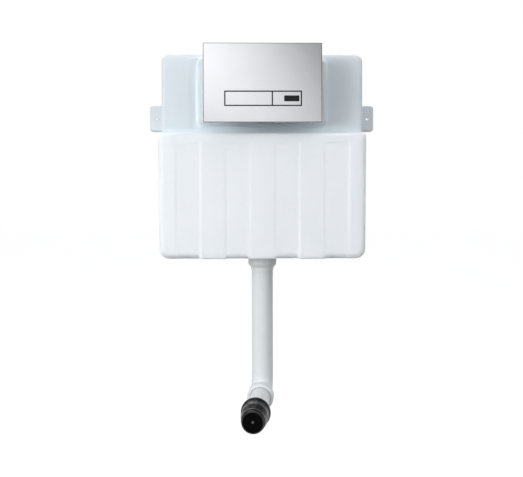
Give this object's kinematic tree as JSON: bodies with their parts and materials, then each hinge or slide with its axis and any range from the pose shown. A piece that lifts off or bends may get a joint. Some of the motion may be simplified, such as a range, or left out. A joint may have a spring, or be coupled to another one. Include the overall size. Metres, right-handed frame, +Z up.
{
  "type": "concealed cistern",
  "caption": "Slim in-wall toilet cistern with stepped tank, dual flush plate on a service shroud, levers, flush and fill valves, swivelling flush pipe and rubber pan connector.",
  "frame": {"origin": "middle of the two wall fixing holes, on the wall plane at the tank's back", "axes": "+X to the viewer's right, +Y into the wall, +Z up; the flush plate faces -Y"},
  "size_m": [0.531, 0.2522, 0.8169],
  "materials": {
    "tank_plastic": "satin, off-white with a faint blue cast",
    "white_plastic": "satin",
    "pipe_plastic": "satin",
    "satin_chrome": "satin",
    "black_plastic": "matt",
    "grey_plastic": "matt",
    "blue_plastic": "matt",
    "black_rubber": "semi-gloss",
    "brass": "turned",
    "steel": "bright zinc",
    "braid": "braided"
  },
  "bodies": {
    "cistern": {"tank_shell": "tank_plastic", "service_shroud": "white_plastic", "shroud_screws": "steel", "plate_frame": "black_plastic", "frame_studs": "steel", "actuator_bracket": "blue_plastic", "lever_axle": "steel", "outlet_gasket": "black_rubber", "valve_seat": "white_plastic", "outlet_washer": "black_rubber", "outlet_nut": "pipe_plastic", "pipe_seal": "black_rubber", "valve_basket": "white_plastic", "inlet_nipple": "brass", "inlet_washer": "black_rubber", "inlet_locknut": "brass", "blanking_plug": "grey_plastic", "stop_valve_body": "brass", "supply_hose": "braid", "fill_valve_body": "white_plastic", "fill_valve_head": "blue_plastic", "float_lever_pin": "steel", "fill_valve_bracket": "white_plastic"},
    "splash_guard": {"inner_cover": "white_plastic"},
    "plate": {"flush_plate": "satin_chrome", "button_bezel": "black_plastic", "full_button_spring": "steel", "half_button_spring": "steel"},
    "full_button": {"full_flush_button": "satin_chrome", "full_push_rod": "white_plastic"},
    "half_button": {"half_flush_button": "satin_chrome", "button_insert": "black_plastic", "half_push_rod": "white_plastic"},
    "full_lever": {"full_lever": "white_plastic"},
    "half_lever": {"half_lever": "grey_plastic"},
    "flush_stem": {"overflow_tube": "blue_plastic", "valve_seal": "black_rubber", "full_lift_rod": "white_plastic"},
    "half_sleeve": {"half_flush_sleeve": "grey_plastic", "half_lift_rod": "grey_plastic"},
    "float": {"fill_float": "grey_plastic"},
    "float_arm": {"float_lever": "white_plastic"},
    "stop_knob": {"stop_valve_knob": "blue_plastic"},
    "outlet_elbow": {"flush_pipe": "pipe_plastic", "socket_seal": "black_rubber", "flush_spigot": "pipe_plastic", "pan_connector": "black_rubber"},
    "plug": {"dust_plug": "black_plastic"}
  },
  "joints": [
    {"name": "plate_pull", "type": "slide", "parent": "cistern", "child": "plate", "axis": [0, -1, 0], "range_m": [0, 0.09]},
    {"name": "guard_pull", "type": "slide", "parent": "cistern", "child": "splash_guard", "axis": [0, -1, 0], "range_m": [0, 0.046]},
    {"name": "full_button_press", "type": "slide", "parent": "plate", "child": "full_button", "axis": [0, 1, 0], "range_m": [0, 0.006], "stiffness_N_per_m": 400, "springref_m": -0.004, "deforming": ["full_button_spring"]},
    {"name": "half_button_press", "type": "slide", "parent": "plate", "child": "half_button", "axis": [0, 1, 0], "range_m": [0, 0.006], "stiffness_N_per_m": 400, "springref_m": -0.004, "deforming": ["half_button_spring"]},
    {"name": "full_lever_turn", "type": "hinge", "parent": "cistern", "child": "full_lever", "pos_m": [0, -0.11, 0.0382], "axis": [1, 0, 0], "range_deg": [0, 15.7]},
    {"name": "half_lever_turn", "type": "hinge", "parent": "cistern", "child": "half_lever", "pos_m": [0, -0.11, 0.0382], "axis": [1, 0, 0], "range_deg": [0, 15.7]},
    {"name": "flush_lift", "type": "slide", "parent": "cistern", "child": "flush_stem", "axis": [0, 0, 1], "range_m": [0, 0.0122]},
    {"name": "half_sleeve_lift", "type": "slide", "parent": "cistern", "child": "half_sleeve", "axis": [0, 0, 1], "range_m": [0, 0.0122]},
    {"name": "float_rise", "type": "slide", "parent": "cistern", "child": "float", "axis": [0, 0, 1], "range_m": [0, 0.02]},
    {"name": "float_lever_turn", "type": "hinge", "parent": "cistern", "child": "float_arm", "pos_m": [-0.15, -0.04, 0.06], "axis": [0, 1, 0], "range_deg": [0, 29]},
    {"name": "stop_knob_turn", "type": "hinge", "parent": "cistern", "child": "stop_knob", "pos_m": [0.06, -0.06, 0.084], "axis": [0, 1, 0], "range_deg": [0, 90]},
    {"name": "pipe_swivel", "type": "hinge", "parent": "cistern", "child": "outlet_elbow", "pos_m": [0, -0.065, -0.33], "axis": [0, 0, 1], "range_deg": [-83.5, 96.5]},
    {"name": "plug_pull", "type": "slide", "parent": "outlet_elbow", "child": "plug", "axis": [-0.1132, -0.9936, 0], "range_m": [0, 0.05]}
  ],
  "couplings": [
    {"joint": "guard_pull", "follows": "plate_pull", "ratio": 0.5},
    {"joint": "full_lever_turn", "follows": "full_button_press", "rad_per_m": 45.455},
    {"joint": "flush_lift", "follows": "full_button_press", "ratio": 2.0202},
    {"joint": "half_lever_turn", "follows": "half_button_press", "rad_per_m": 45.455},
    {"joint": "half_sleeve_lift", "follows": "half_button_press", "ratio": 2.0202},
    {"joint": "float_lever_turn", "follows": "float_rise", "rad_per_m": 25.268}
  ]
}
